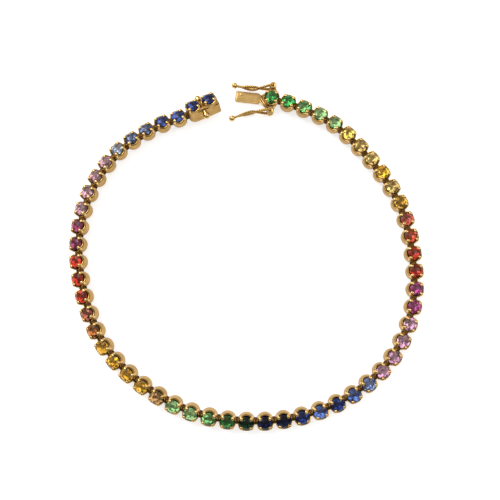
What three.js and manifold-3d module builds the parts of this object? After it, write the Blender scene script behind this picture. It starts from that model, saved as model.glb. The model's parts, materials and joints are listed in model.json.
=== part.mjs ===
// Tennis bracelet: a line of round stones in four-prong cups, a box clasp with a sprung tongue,
// and two figure-eight safety levers. It lies unfastened in an open loop, stones up.
// Millimetres, +Z up, resting on Z = 0, with the clasp at +Y.
import * as THREE from "three";
import { mergeVertices } from "three/addons/utils/BufferGeometryUtils.js";
import Module from "manifold-3d";

const wasm = await Module();
wasm.setup();

// Driving dimensions: the stones
const stoneDiameter = 2.4;
const tableDiameter = 1.36;
const crownHeight = 0.42;
const girdleThickness = 0.06;
const pavilionDepth = 0.85;
const stoneGap = 0.12;

// Driving dimensions: the cups, measured down from the stone's girdle
const linkPitch = 3.16;
const rimWall = 0.23;
const cupDepth = 2.05;
const cupBaseDiameter = 1.2;
const bowlDiameter = 2.46;
const bowlRise = 0.36;
const prongHeight = 0.34;
const prongReach = 0.1;
const scallopDepth = 0.22;
const cupSides = 12;

// Driving dimensions: the rings that join the cups
const ringWire = 0.36;
const ringLength = 1.72;
const ringHeight = 1.1;
const ringDepth = 0.95;
const ringGap = 0.17;

// Driving dimensions: the clasp box
const boxWidth = 2.86;
const boxDepth = 3.1;
const boxRingDepth = 1.7;
const boxLip = 0.1;
const boxDeckDepth = 0.5;
const boxCornerRadius = 0.5;
const boxEndOverhang = 1.46;
const boxColletDepth = 1.1;
const studNeckDiameter = 0.6;
const studBallDiameter = 1.1;
const studReach = 0.82;
const studDepth = 1.75;

// Driving dimensions: the tongue, folded from one strip
const plateWidth = 1.95;
const plateStart = 2.14;
const leafThickness = 0.26;
const leafSpread = 0.2;
const plateTopDepth = 1.24;
const plateCornerRadius = 0.3;
const neckWidth = 1.3;
const slotGap = 0.18;
const slotEndWall = 0.1;

// Driving dimensions: the safety levers and their hinges
const hingeOffset = 2.48;
const leverDepth = 0.95;
const leverLength = 7.15;
const leverWire = 0.5;
const leverLoopHeight = 1.45;
const leverCrossing = 2.3;
const leverFarEnd = 5.8;
const leverBow = 0.45;
const leverBallDiameter = 1.15;
const hingeGap = 0.2;
const barrelWall = 0.22;
const bracketWire = 0.52;
const bracketDrop = 0.35;
const webReach = 1.15;
const webWidth = 0.8;
const webHeight = 0.5;

// How the bracelet lies. The tongue's line leaves the chain's line by this angle
const tongueTurn = 12;
// How far the box leans outwards, in degrees
const boxLean = 23;
// Each lever's swing away from the tongue's line, out from the tongue, as it lies, and how far
// its far loop is bent over towards the inside of the bracelet
const outerLeverSwing = -5.2;
const outerLoopLean = 9;
const innerLeverSwing = 17.6;
const innerLoopLean = 2;
// The share of the links that is in the first part of the chain, counted from the tongue
const firstChainShare = 0.5;

// The route of the chain at the level of its rings, in plan, from the tongue's head to the box
const routePoints = [
  [4.0, 28.35], [10.05, 26.2], [15.55, 23.15], [21.9, 16.45], [26.75, 8.45], [28.8, -0.85],
  [28.45, -10.2], [24.65, -18.9], [17.7, -25.2], [9.05, -28.85], [-0.4, -29.8], [-9.75, -28.3],
  [-18.1, -23.9], [-24.9, -17.4], [-28.85, -8.85], [-30.45, 0.5], [-28.9, 9.95], [-23.95, 17.9],
  [-16.3, 23.15], [-13.1, 24.25], [-10.3, 25.8], [-6.95, 27.35],
];

// How far the cups lean outwards along the route, in degrees, at shares of its length
const leanTable = [
  { share: 0.0, lean: 0 }, { share: 0.018, lean: 9 }, { share: 0.12, lean: 7 },
  { share: 0.22, lean: 9 }, { share: 0.32, lean: 13 }, { share: 0.42, lean: 19 },
  { share: 0.5, lean: 23 },
  { share: 0.56, lean: 28 }, { share: 0.64, lean: 28 }, { share: 0.74, lean: 24 },
  { share: 0.84, lean: 20 }, { share: 0.93, lean: 16 }, { share: 1.0, lean: 14 },
];

// One strand of a lever, from its hinge to the crossing and from there to the far end: shares of
// each loop's length and of half the loops' height
const nearLoopTable = [
  { along: 0, height: -0.2 }, { along: 0, height: 0.6 }, { along: 0.05, height: 0.9 },
  { along: 0.2, height: 1 }, { along: 0.5, height: 0.8 },
];
const farLoopTable = [
  { along: 0, height: 0 }, { along: 0.28, height: -0.85 }, { along: 0.5, height: -1 },
  { along: 0.78, height: -0.75 }, { along: 1, height: 0 },
];
// How far the two strands stand apart at their crossing, as a share of the wire's radius
const strandSpread = 0.35;

// A bracket's arm from the neck to its barrel: shares of its length, its reach and its drop. The
// inner arm stands away from the head's cup and the outer one lies against it
const innerBracketTable = [
  { along: -1, reach: 0.1, drop: 1 }, { along: -0.73, reach: 0.53, drop: 0.3 },
  { along: -0.25, reach: 0.92, drop: 0 }, { along: 0, reach: 1, drop: 0 },
];
const outerBracketTable = [
  { along: -1, reach: 0.1, drop: 1 }, { along: -0.6, reach: 0.4, drop: 0.8 },
  { along: -0.2, reach: 0.74, drop: 0.3 }, { along: 0, reach: 1, drop: 0 },
];

// Sizes that follow from the driving ones
const rimRadius = stoneDiameter / 2 + rimWall;
const ringWireRadius = ringWire / 2;
const leverHalfLoop = leverLoopHeight / 2;
const leverWireRadius = leverWire / 2;
const barrelBoreRadius = leverWireRadius + hingeGap;
const barrelRadius = barrelBoreRadius + barrelWall;
const barrelHalfLength = leverHalfLoop - leverWireRadius - hingeGap;
const plateThickness = 2 * leafThickness + leafSpread;
const boxEnd = linkPitch / 2 + boxEndOverhang;
const bracketLength = plateStart - leafThickness / 2;
const bracketReach = hingeOffset - barrelRadius + barrelWall / 2;
const prongEvery = cupSides / 4;

// The slot ends at a wall before the ring at the chain's end. The plate fits the slot, with its
// inner end just behind the lip at the slot's mouth
const slotEnd = -linkPitch + ringLength / 2 + ringWireRadius + ringGap + slotEndWall;
const plateLength = boxEnd - boxLip - slotEnd - slotGap;
const plateTip = -(plateStart + plateLength);

// How finely curves are cut into flats, and how far a cutter runs past what it cuts
const wireSides = 5;
const ringEndSides = 4;
const leverSteps = 12;
const bracketSteps = 5;
const roundSides = 10;
const ballRows = 6;
const cornerSteps = 3;
const cutterRunOut = 1;
const mergeDistance = 1e-4;
const upAxis = new THREE.Vector3(0, 0, 1);

// A closed geometry as a solid that can be joined and cut
function solidOf(geometry) {
  const bare = new THREE.BufferGeometry();
  bare.setAttribute("position", geometry.getAttribute("position"));
  bare.setIndex(geometry.index);
  const merged = mergeVertices(bare, mergeDistance);
  const corners = merged.index.array;
  const kept = [];
  for (let i = 0; i < corners.length; i += 3) {
    const [a, b, c] = corners.slice(i, i + 3);
    if (a !== b && b !== c && c !== a) kept.push(a, b, c);
  }
  return new wasm.Manifold(new wasm.Mesh({
    numProp: 3,
    vertProperties: Float32Array.from(merged.getAttribute("position").array),
    triVerts: Uint32Array.from(kept),
  }));
}

function geometryOf(solid) {
  const mesh = solid.getMesh();
  const geometry = new THREE.BufferGeometry();
  geometry.setAttribute("position", new THREE.BufferAttribute(mesh.vertProperties, 3));
  geometry.setIndex(new THREE.BufferAttribute(mesh.triVerts, 1));
  geometry.computeVertexNormals();
  return geometry;
}

function joined(solids) {
  return solids.reduce((whole, solid) => whole.add(solid));
}

// A lathe turned about Z, with its first side face centred between two of the prongs
function turned(profile) {
  const points = profile.map(([radius, height]) => new THREE.Vector2(radius, height));
  const lathe = new THREE.LatheGeometry(points, cupSides, Math.PI / cupSides, 2 * Math.PI);
  return lathe.rotateX(Math.PI / 2);
}

// A closed outline pushed along Z from one height to another
function pushed(shape, low, high) {
  const geometry = new THREE.ExtrudeGeometry(shape, {
    depth: high - low, bevelEnabled: false, curveSegments: cornerSteps,
  });
  return geometry.translate(0, 0, low);
}

// A round wire along an open curve
function wireAlong(curve, radius, steps) {
  const section = new THREE.Shape();
  for (let i = 0; i < wireSides; i += 1) {
    const angle = (2 * Math.PI * (i + 0.5)) / wireSides;
    const corner = [radius * Math.cos(angle), radius * Math.sin(angle)];
    if (i === 0) section.moveTo(...corner);
    else section.lineTo(...corner);
  }
  return new THREE.ExtrudeGeometry(section, { steps, extrudePath: curve, bevelEnabled: false });
}

function curveThrough(points) {
  return new THREE.CatmullRomCurve3(points.map((point) => new THREE.Vector3(...point)));
}

// One cup with its four prongs, its top closed by the stone's crown. The origin is at the girdle
function cupGeometry(depth) {
  const profile = [
    [0, -depth],
    [cupBaseDiameter / 2, -depth],
    [bowlDiameter / 2, -depth + bowlRise],
    [rimRadius, 0],
    [stoneDiameter / 2, 0],
    [tableDiameter / 2, crownHeight],
    [0, crownHeight],
  ];
  const [rimRow, stoneEdgeRow] = [3, 4];
  const geometry = turned(profile);
  const position = geometry.getAttribute("position");
  for (let side = 0; side <= cupSides; side += 1) {
    const atProng = side % prongEvery === 1;
    const rim = side * profile.length + rimRow;
    const stoneEdge = side * profile.length + stoneEdgeRow;
    position.setZ(rim, atProng ? prongHeight / 3 : -scallopDepth);
    if (!atProng) continue;
    const inwards = 1 - prongReach / (stoneDiameter / 2);
    const [x, y] = [position.getX(stoneEdge), position.getY(stoneEdge)];
    position.setXYZ(stoneEdge, x * inwards, y * inwards, prongHeight);
  }
  return geometry;
}

// A round stone with a table and a ring of crown and pavilion facets, grown by a gap on request
function stoneGeometry(gap = 0) {
  const radius = stoneDiameter / 2 + gap;
  const half = girdleThickness / 2;
  return turned([
    [0, -pavilionDepth - gap],
    [radius, -half - gap / 2],
    [radius, half + gap / 2],
    [tableDiameter / 2 + gap, crownHeight + gap],
    [0, crownHeight + gap],
  ]);
}

// A closed line through its corners, which a tube round it follows corner by corner
class CornerLoop extends THREE.Curve {
  constructor(corners) {
    super();
    this.corners = corners;
  }

  getPoint(t, target = new THREE.Vector3()) {
    const count = this.corners.length;
    const from = Math.floor(t * count);
    const [start, end] = [this.corners[from % count], this.corners[(from + 1) % count]];
    return target.lerpVectors(start, end, t * count - from);
  }

  getUtoTmapping(u) {
    return u;
  }
}

// One oval ring in the plane of X and Z, or the clearance round it
function ringGeometry(gap = 0) {
  const corners = [];
  const endRadius = ringHeight / 2;
  for (const side of [1, -1]) {
    for (let i = 0; i <= ringEndSides; i += 1) {
      const angle = Math.PI * (i / ringEndSides - 0.5);
      const along = ringLength / 2 - endRadius + endRadius * Math.cos(angle);
      corners.push(new THREE.Vector3(side * along, 0, side * endRadius * Math.sin(angle)));
    }
  }
  const radius = ringWireRadius + gap;
  return new THREE.TubeGeometry(new CornerLoop(corners), corners.length, radius, wireSides, true);
}

// Where a cup, a ring or a clasp part stands: X along the chain, Y outwards, Z up the stone's axis
function standing(centre, along, lean) {
  const x = along.clone().normalize();
  const level = upAxis.clone().cross(x).normalize();
  const upright = x.clone().cross(level);
  const tilt = THREE.MathUtils.degToRad(lean);
  const z = upright.multiplyScalar(Math.cos(tilt)).addScaledVector(level, Math.sin(tilt));
  const y = z.clone().cross(x);
  return new THREE.Matrix4().makeBasis(x, y, z).setPosition(centre);
}

function lowestPoint(geometry, matrix) {
  const placed = geometry.clone().applyMatrix4(matrix);
  placed.computeBoundingBox();
  return placed.boundingBox.min.z;
}

// The chain's route, with places one pitch apart: the head, the links, then the box's two stones
const route = curveThrough(routePoints.map(([x, y]) => [x, y, 0]));
route.arcLengthDivisions = 2000;
const lastPlace = Math.floor(route.getLength() / linkPitch);
const linkCount = lastPlace - 2;

function routePoint(place) {
  return route.getPointAt((place * linkPitch) / route.getLength());
}

function leanAt(place) {
  const share = place / lastPlace;
  const next = Math.max(1, leanTable.findIndex((row) => row.share >= share));
  const [from, to] = [leanTable[next - 1], leanTable[next]];
  return THREE.MathUtils.mapLinear(share, from.share, to.share, from.lean, to.lean);
}

// A frame whose origin is the girdle's centre, over a point of the route at the rings' level
function girdleFrame(point, along, lean, lowPart) {
  const frame = standing(new THREE.Vector3(point.x, point.y, 0), along, lean);
  const axis = new THREE.Vector3().setFromMatrixColumn(frame, 2);
  const centre = new THREE.Vector3().setFromMatrixPosition(frame);
  centre.addScaledVector(axis, ringDepth);
  frame.setPosition(centre);
  centre.z -= lowestPoint(lowPart, frame);
  return frame.setPosition(centre);
}

// The point where rings pass, under a frame's girdle
function ringPoint(frame, along = 0, depth = ringDepth) {
  return new THREE.Vector3(along, 0, -depth).applyMatrix4(frame);
}

function boxRingPoint() {
  return ringPoint(boxFrame, -linkPitch / 2, boxRingDepth);
}

// The clasp box in its own frame: its centre is midway between its two stones, at their girdles
function boxBody() {
  const half = boxWidth / 2;
  const round = boxCornerRadius;
  const section = new THREE.Shape();
  section.moveTo(-half, -boxDeckDepth);
  section.lineTo(-half, -boxDepth + round);
  section.absarc(-half + round, -boxDepth + round, round, Math.PI, 1.5 * Math.PI);
  section.lineTo(half - round, -boxDepth);
  section.absarc(half - round, -boxDepth + round, round, -0.5 * Math.PI, 0);
  section.lineTo(half, -boxDeckDepth);
  section.closePath();
  const trough = pushed(section, -linkPitch / 2, boxEnd);
  trough.applyMatrix4(new THREE.Matrix4().makeBasis(
    new THREE.Vector3(0, 1, 0), new THREE.Vector3(0, 0, 1), new THREE.Vector3(1, 0, 0),
  ));
  return trough;
}

function stud(side) {
  const wall = boxWidth / 2;
  const ballCentre = wall + studReach;
  const neckRadius = studNeckDiameter / 2;
  const neck = new THREE.CylinderGeometry(neckRadius, neckRadius, ballCentre, roundSides);
  neck.translate(0, ballCentre / 2, 0);
  const ball = new THREE.SphereGeometry(studBallDiameter / 2, roundSides, ballRows);
  return joined([neck, ball.translate(0, ballCentre, 0)].map((shape) => solidOf(shape)
    .rotate([side > 0 ? 0 : 180, 0, 0]).translate([0, 0, -studDepth])));
}

function slotCutter() {
  const width = plateWidth + 2 * slotGap;
  const height = plateThickness + 2 * slotGap;
  const length = boxEnd - slotEnd + cutterRunOut;
  const slot = new THREE.BoxGeometry(length, width, height);
  const middle = plateTopDepth + plateThickness / 2;
  return solidOf(slot.translate(slotEnd + length / 2, 0, -middle));
}

function claspBox(stoneSpots) {
  const endCup = solidOf(cupGeometry(boxDepth)).translate([stoneSpots[0], 0, 0]);
  const collet = solidOf(cupGeometry(boxColletDepth + bowlRise)).translate([stoneSpots[1], 0, 0]);
  let metal = joined([solidOf(boxBody()), endCup, collet, stud(1), stud(-1)]);
  for (const spot of stoneSpots) {
    metal = metal.subtract(solidOf(stoneGeometry(stoneGap)).translate([spot, 0, 0]));
  }
  return metal.subtract(slotCutter());
}

// The tongue's folded strip, seen from the side: a top leaf that runs out from the head, a rounded
// fold and a lower leaf that springs back under it
function tongueStrip() {
  const bottom = -plateTopDepth - plateThickness;
  const fold = plateThickness / 2;
  const foldInside = plateTip + 1.5 * leafThickness;
  const side = new THREE.Shape();
  side.moveTo(-plateStart, bottom);
  side.lineTo(-plateStart, bottom + leafThickness);
  side.lineTo(plateTip + fold, bottom + leafThickness);
  side.lineTo(foldInside, bottom + fold);
  side.lineTo(plateTip + fold, -plateTopDepth - leafThickness);
  side.lineTo(0, -plateTopDepth - leafThickness);
  side.lineTo(0, -plateTopDepth);
  side.lineTo(plateTip + fold, -plateTopDepth);
  side.absarc(plateTip + fold, bottom + fold, fold, 0.5 * Math.PI, 1.5 * Math.PI);
  side.closePath();
  const strip = pushed(side, -plateWidth / 2, plateWidth / 2).rotateX(Math.PI / 2);
  const plan = new THREE.Shape();
  const [half, neck, round] = [plateWidth / 2, neckWidth / 2, plateCornerRadius];
  plan.moveTo(0, -neck);
  plan.lineTo(0, neck);
  plan.lineTo(-plateStart, neck);
  plan.lineTo(-plateStart, half);
  plan.lineTo(plateTip + round, half);
  plan.absarc(plateTip + round, half - round, round, 0.5 * Math.PI, Math.PI);
  plan.lineTo(plateTip, -half + round);
  plan.absarc(plateTip + round, -half + round, round, Math.PI, 1.5 * Math.PI);
  plan.lineTo(-plateStart, -half);
  plan.lineTo(-plateStart, -neck);
  plan.closePath();
  return solidOf(strip).intersect(solidOf(pushed(plan, bottom - cutterRunOut, 0)));
}

// A hinge barrel or its bore, at one side of the head
function barrelSolid(side, radius, length) {
  const cylinder = new THREE.CylinderGeometry(radius, radius, length, cupSides).rotateX(Math.PI / 2);
  return solidOf(cylinder.translate(0, side * hingeOffset, -leverDepth));
}

// A bracket arm from the neck round the head's cup to one hinge barrel
function bracketArm(side) {
  const table = side > 0 ? outerBracketTable : innerBracketTable;
  const curve = curveThrough(table.map(({ along, reach, drop }) => [
    along * bracketLength, side * reach * bracketReach, -leverDepth - drop * bracketDrop,
  ]));
  return solidOf(wireAlong(curve, bracketWire / 2, bracketSteps));
}

// The web that runs from the chain's side of the head's cup to a barrel, narrowing to its width
function barrelWeb(side) {
  const plan = new THREE.Shape();
  plan.moveTo(webReach - webWidth, cupBaseDiameter / 2);
  plan.lineTo(webReach, cupBaseDiameter / 2);
  plan.lineTo(barrelRadius, hingeOffset);
  plan.lineTo(0, hingeOffset);
  plan.closePath();
  const web = solidOf(pushed(plan, -leverDepth - webHeight / 2, -leverDepth + webHeight / 2));
  return side > 0 ? web : web.mirror([0, 1, 0]);
}

function claspTongue() {
  const sides = [1, -1];
  const barrels = sides.map((side) => barrelSolid(side, barrelRadius, 2 * barrelHalfLength));
  let metal = joined([tongueStrip(), ...sides.map(bracketArm), ...sides.map(barrelWeb), ...barrels]);
  for (const side of sides) {
    metal = metal.subtract(barrelSolid(side, barrelBoreRadius, 2 * barrelHalfLength + cutterRunOut));
  }
  return metal.add(solidOf(cupGeometry(cupDepth))).subtract(solidOf(stoneGeometry(stoneGap)));
}

// A lever in its own frame: the hinge's axis is Z at the origin, and its arm runs along -X.
// Its bow bends towards +Y
function bowAt(along) {
  return leverBow * Math.sin((Math.PI * along) / leverLength);
}

function leverStrand(up, loopLean) {
  const farLength = leverFarEnd - leverCrossing;
  const stations = [
    ...nearLoopTable.map(({ along, height }) => [along * leverCrossing, height]),
    ...farLoopTable.map(({ along, height }) => [leverCrossing + along * farLength, height]),
  ];
  const lean = Math.tan(THREE.MathUtils.degToRad(loopLean));
  const curve = curveThrough(stations.map(([along, height]) => {
    const z = up * height * leverHalfLoop;
    const aside = up * leverWireRadius * strandSpread + (along > leverCrossing ? z * lean : 0);
    return [-along, bowAt(along) + aside, z];
  }));
  return solidOf(wireAlong(curve, leverWireRadius, leverSteps));
}

function safetyLever(loopLean) {
  const stem = curveThrough([
    [-leverFarEnd + leverWireRadius, bowAt(leverFarEnd), 0],
    [-leverLength, 0, 0],
  ]);
  const ball = new THREE.SphereGeometry(leverBallDiameter / 2, roundSides, ballRows);
  return joined([
    leverStrand(1, loopLean), leverStrand(-1, loopLean), solidOf(wireAlong(stem, leverWireRadius, 1)),
    solidOf(ball.rotateX(Math.PI / 2).translate(-leverLength, 0, 0)),
  ]);
}

// Frames of the head, the links and the box
const linkCup = cupGeometry(cupDepth);
const headLine = routePoint(0.5).sub(routePoint(0));
headLine.applyAxisAngle(upAxis, THREE.MathUtils.degToRad(tongueTurn));
const headFrame = girdleFrame(routePoint(0), headLine, leanAt(0), linkCup);

const boxStart = routePoint(lastPlace - 1);
const boxLine = routePoint(lastPlace).sub(boxStart);
const boxMiddle = boxStart.clone().addScaledVector(boxLine, 0.5);
const boxFrame = girdleFrame(boxMiddle, boxLine, boxLean, boxBody());

const linkFrames = [];
for (let place = 1; place <= linkCount; place += 1) {
  const along = routePoint(place + 0.5).sub(routePoint(place - 0.5));
  linkFrames.push(girdleFrame(routePoint(place), along, leanAt(place), linkCup));
}

// The last link climbs halfway to the deeper box
const lastFrame = linkFrames[linkCount - 1];
const boxRise = boxRingPoint().z - ringPoint(lastFrame).z;
const climb = routePoint(linkCount + 0.5).sub(routePoint(linkCount - 0.5));
climb.z = boxRise / 2;
linkFrames[linkCount - 1] = girdleFrame(routePoint(linkCount), climb, leanAt(linkCount), linkCup)
  .premultiply(new THREE.Matrix4().makeTranslation(0, 0, boxRise / 3));

// The ring between two frames, upright between them
function ringFrame(from, to, end = ringPoint(to)) {
  const start = ringPoint(from);
  const axis = new THREE.Vector3().setFromMatrixColumn(from, 2);
  axis.add(new THREE.Vector3().setFromMatrixColumn(to, 2));
  const x = end.clone().sub(start).normalize();
  const y = axis.cross(x).normalize();
  const z = x.clone().cross(y);
  return new THREE.Matrix4().makeBasis(x, y, z).setPosition(start.lerp(end, 0.5));
}

function ringAt(frame, gap = 0) {
  return solidOf(ringGeometry(gap).applyMatrix4(frame));
}

const headRing = ringFrame(headFrame, linkFrames[0]);
const linkRings = linkFrames.slice(1).map((frame, i) => ringFrame(linkFrames[i], frame));
const boxRing = ringFrame(linkFrames[linkCount - 1], boxFrame, boxRingPoint());

// Half of the chain: its cups with their stones, joined by their rings. A ring that hangs in
// the part before it cuts its own clearance there
const chainSplit = Math.round(linkCount * firstChainShare);

function chainPart(first, last, endRings, guestRings) {
  const cups = linkFrames.slice(first, last).map((frame) => solidOf(linkCup.clone().applyMatrix4(frame)));
  const rings = linkRings.slice(first, last - 1).map((frame) => ringAt(frame));
  let part = joined(cups);
  for (const frame of guestRings) part = part.subtract(ringAt(frame, ringGap));
  return joined([part, ...rings, ...endRings.map((frame) => ringAt(frame))]);
}

// Materials
const gold = () => new THREE.MeshStandardMaterial({ color: 0xc9a050, roughness: 0.32, metalness: 1 });
const gem = (color) => new THREE.MeshStandardMaterial({ color, roughness: 0.08, metalness: 0 });

const bracelet = new THREE.Group();

function addPiece(name, solid, material, parent = bracelet) {
  const mesh = new THREE.Mesh(geometryOf(solid), material);
  mesh.name = name;
  parent.add(mesh);
  return mesh;
}

function groupAt(frame) {
  const group = new THREE.Group();
  group.applyMatrix4(frame);
  bracelet.add(group);
  return group;
}

function inverseOf(frame) {
  return frame.clone().invert();
}

// The tongue and its stone
const headGroup = groupAt(headFrame);
const headTunnel = ringAt(inverseOf(headFrame).multiply(headRing), ringGap);
addPiece("clasp_tongue", claspTongue().subtract(headTunnel), gold(), headGroup);
addPiece("tongue_stone", solidOf(stoneGeometry()), gem(0x2fae50), headGroup);

// The two safety levers, hinged on the tongue's barrels
const leverSpots = [
  { name: "safety_lever_outer", side: 1, swing: outerLeverSwing, loopLean: outerLoopLean },
  { name: "safety_lever_inner", side: -1, swing: innerLeverSwing, loopLean: innerLoopLean },
];
for (const { name, side, swing, loopLean } of leverSpots) {
  const hinge = new THREE.Group();
  hinge.position.set(0, side * hingeOffset, -leverDepth);
  hinge.rotation.z = THREE.MathUtils.degToRad(-side * swing);
  headGroup.add(hinge);
  const lever = safetyLever(loopLean).rotate([side > 0 ? 180 : 0, 0, 0]);
  addPiece(name, lever, gold(), hinge);
}

// The chain in two parts that meet
const middleRing = linkRings[chainSplit - 1];
addPiece("link_chain_tongue_side", chainPart(0, chainSplit, [headRing, middleRing], []), gold());
addPiece("link_chain_box_side", chainPart(chainSplit, linkCount, [boxRing], [middleRing]), gold());

// The box and its two stones
const boxGroup = groupAt(boxFrame);
const stoneSpots = [-linkPitch / 2, linkPitch / 2];
const boxTunnel = ringAt(inverseOf(boxFrame).multiply(boxRing), ringGap);
addPiece("clasp_box", claspBox(stoneSpots).subtract(boxTunnel), gold(), boxGroup);
const boxStoneNames = ["box_stone_chain_end", "box_stone_open_end"];
stoneSpots.forEach((spot, i) => {
  addPiece(boxStoneNames[i], solidOf(stoneGeometry()).translate([spot, 0, 0]), gem(0x24409a), boxGroup);
});

// The whole bracelet stands with the middle of its footprint at the origin
const whole = new THREE.Box3().setFromObject(bracelet, true);
const middle = whole.getCenter(new THREE.Vector3());
bracelet.position.set(-middle.x, -middle.y, -whole.min.z);

export default bracelet;
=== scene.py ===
import bpy
import json
import math
import numpy as np
from mathutils import Matrix


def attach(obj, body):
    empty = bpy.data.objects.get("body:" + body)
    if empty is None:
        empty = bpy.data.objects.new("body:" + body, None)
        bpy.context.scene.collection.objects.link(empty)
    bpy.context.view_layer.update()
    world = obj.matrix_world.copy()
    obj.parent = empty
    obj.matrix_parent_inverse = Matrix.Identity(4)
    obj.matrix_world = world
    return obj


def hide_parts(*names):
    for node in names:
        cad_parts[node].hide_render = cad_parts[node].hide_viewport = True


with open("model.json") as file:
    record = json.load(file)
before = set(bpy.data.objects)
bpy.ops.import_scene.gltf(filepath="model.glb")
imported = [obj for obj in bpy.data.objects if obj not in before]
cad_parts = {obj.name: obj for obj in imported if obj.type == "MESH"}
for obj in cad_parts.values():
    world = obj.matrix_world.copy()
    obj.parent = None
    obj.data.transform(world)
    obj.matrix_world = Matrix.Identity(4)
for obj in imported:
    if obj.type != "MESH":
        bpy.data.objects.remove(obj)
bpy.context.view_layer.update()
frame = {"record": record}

# Sizes in millimetres. Most are those of the part's source, and a comment says where one differs.
# Everything is scaled to metres when it is built
MM = 0.001
PITCH = 3.16
RING_DEPTH = 0.95
CUP_DEPTH = 2.05
COLLET_DEPTH = 1.5
STONE_R = 1.2
TABLE_R = 0.68
CROWN = 0.42
PAVILION = 0.85
RING_HALF_LENGTH = 0.86
RING_END_R = 0.55
RING_WIRE_R = 0.18
# The rings are wider than in the source and dark gold all over, painted shade, with their eyes filled
# by a dark sheet of painted shade, as no light shows through them
RING_HALF_WIDTH = 0.42
RING_EYE_SHARE = 0.9
RING_EYE_HALF = 0.3
RING_EYE_BEVEL = 0.03

# The clasp box, measured down from its stones' girdles. Its deck is 0.2 higher than in the source
BOX_HALF_WIDTH = 1.43
BOX_DEPTH = 3.1
BOX_END = 3.04
BOX_CORNER_R = 0.5
BOX_RING_DEPTH = 1.7
BOX_LEAN = 23.0
DECK_DEPTH = 0.3
SEAM_DEPTH = 0.66
BOX_BULGE_DEPTH = 2.1
LIP_R = 1.37
LIP_WIRE_R = 0.13
LIP_HALF_ANGLE = 52
STUD_DEPTH = 1.75
STUD_SET_IN = 0.1
STUDS = [
    {"side": 1, "rise": 0.8, "tilt": 100},
    {"side": -1, "rise": 0.55, "tilt": 114},
]

# The tongue
TONGUE_TURN = 12.0
PLATE_TOP = 1.24
PLATE_START = 2.14
PLATE_TIP = 6.75
PLATE_HALF = 0.975
PLATE_CORNER_R = 0.3
NECK_HALF = 0.65
LEAF = 0.26
SPREAD = 0.2
PLATE_BEVEL = 0.07
NUB = [(-5.95, 0.2), (-5.25, 0.12), (-5.22, 0.48), (-5.92, 0.56)]
NUB_HEIGHT = 0.09
NUB_ROOT = 0.1
NUB_CORNER_R = 0.12
NUB_BEVEL = 0.06
SLOT_GAP = 0.18
SLOT_END = -1.85
SLOT_ROOF_DROP = 0.08

# The safety levers and their hinges. Each lever's swing is in degrees, and so is the lean of its far
# loop, which is a little less than in the source
HINGE_OFFSET = 2.48
LEVER_DEPTH = 0.95
LEVER_LENGTH = 7.15
LEVER_HALF = 0.725
LEVER_WIRE_R = 0.25
LEVER_CROSSING = 2.3
LEVER_FAR_END = 5.8
LEVER_BOW = 0.45
LEVER_BALL_R = 0.575
STRAND_SPREAD = 0.35
THIN_WIRE_R = 0.21
THIN_WIRE_OFFSET = 0.06
THIN_WIRE_LAY = 0.9
LEVER_EYE_R = 0.43
LEVER_EYE_WIRE_R = 0.22
LEVER_EYE_RISE = 0.6
STEM_RADII = [0.24] * 9 + [0.26, 0.29, 0.32, 0.33, 0.33]
BARREL_R = 0.67
BARREL_BORE = 0.45
BARREL_HALF = 0.275
BARREL_BEVEL = 0.07
BRACKET_WIRE_R = 0.17
BRACKET_SPREAD = 0.13
BRACKET_LENGTH = 2.01
BRACKET_REACH = 1.92
BRACKET_DROP = 0.35
WEB_REACH = 1.15
WEB_WIDTH = 0.8
WEB_HEIGHT = 0.5
WEB_START = 0.6
WEB_SHORT = 0.45
WEB_CORNER_R = 0.05
WEB_BEVEL = 0.1
LEVERS = [
    {"name": "outer", "side": 1, "swing": -5.2, "lean": 4.0},
    {"name": "inner", "side": -1, "swing": 17.6, "lean": 0.0},
]

# The route of the chain at the level of its rings, and the cups' lean along it, as in the source
ROUTE = [
    (4.0, 28.35), (10.05, 26.2), (15.55, 23.15), (21.9, 16.45), (26.75, 8.45), (28.8, -0.85),
    (28.45, -10.2), (24.65, -18.9), (17.7, -25.2), (9.05, -28.85), (-0.4, -29.8), (-9.75, -28.3),
    (-18.1, -23.9), (-24.9, -17.4), (-28.85, -8.85), (-30.45, 0.5), (-28.9, 9.95), (-23.95, 17.9),
    (-16.3, 23.15), (-13.1, 24.25), (-10.3, 25.8), (-6.95, 27.35),
]
LEAN_SHARE = [0.0, 0.018, 0.12, 0.22, 0.32, 0.42, 0.5, 0.56, 0.64, 0.74, 0.84, 0.93, 1.0]
LEAN_ANGLE = [0, 9, 7, 9, 13, 19, 23, 28, 28, 24, 20, 16, 14]

# A lever's strand from its hinge to the crossing and to the far end: shares of each loop's length
# and of half the loops' height
NEAR_LOOP = [(0, -0.2), (0, 0.6), (0.05, 0.9), (0.2, 1), (0.5, 0.8)]
FAR_LOOP = [(0, 0), (0.28, -0.85), (0.5, -1), (0.78, -0.75), (1, 0)]
# A bracket's arm from the neck to its barrel: shares of its length, its reach and its drop
INNER_BRACKET = [(-1, 0.1, 1), (-0.73, 0.53, 0.3), (-0.25, 0.92, 0), (0, 1, 0)]
OUTER_BRACKET = [(-1, 0.1, 1), (-0.6, 0.4, 0.8), (-0.2, 0.74, 0.3), (0, 1, 0)]

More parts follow.
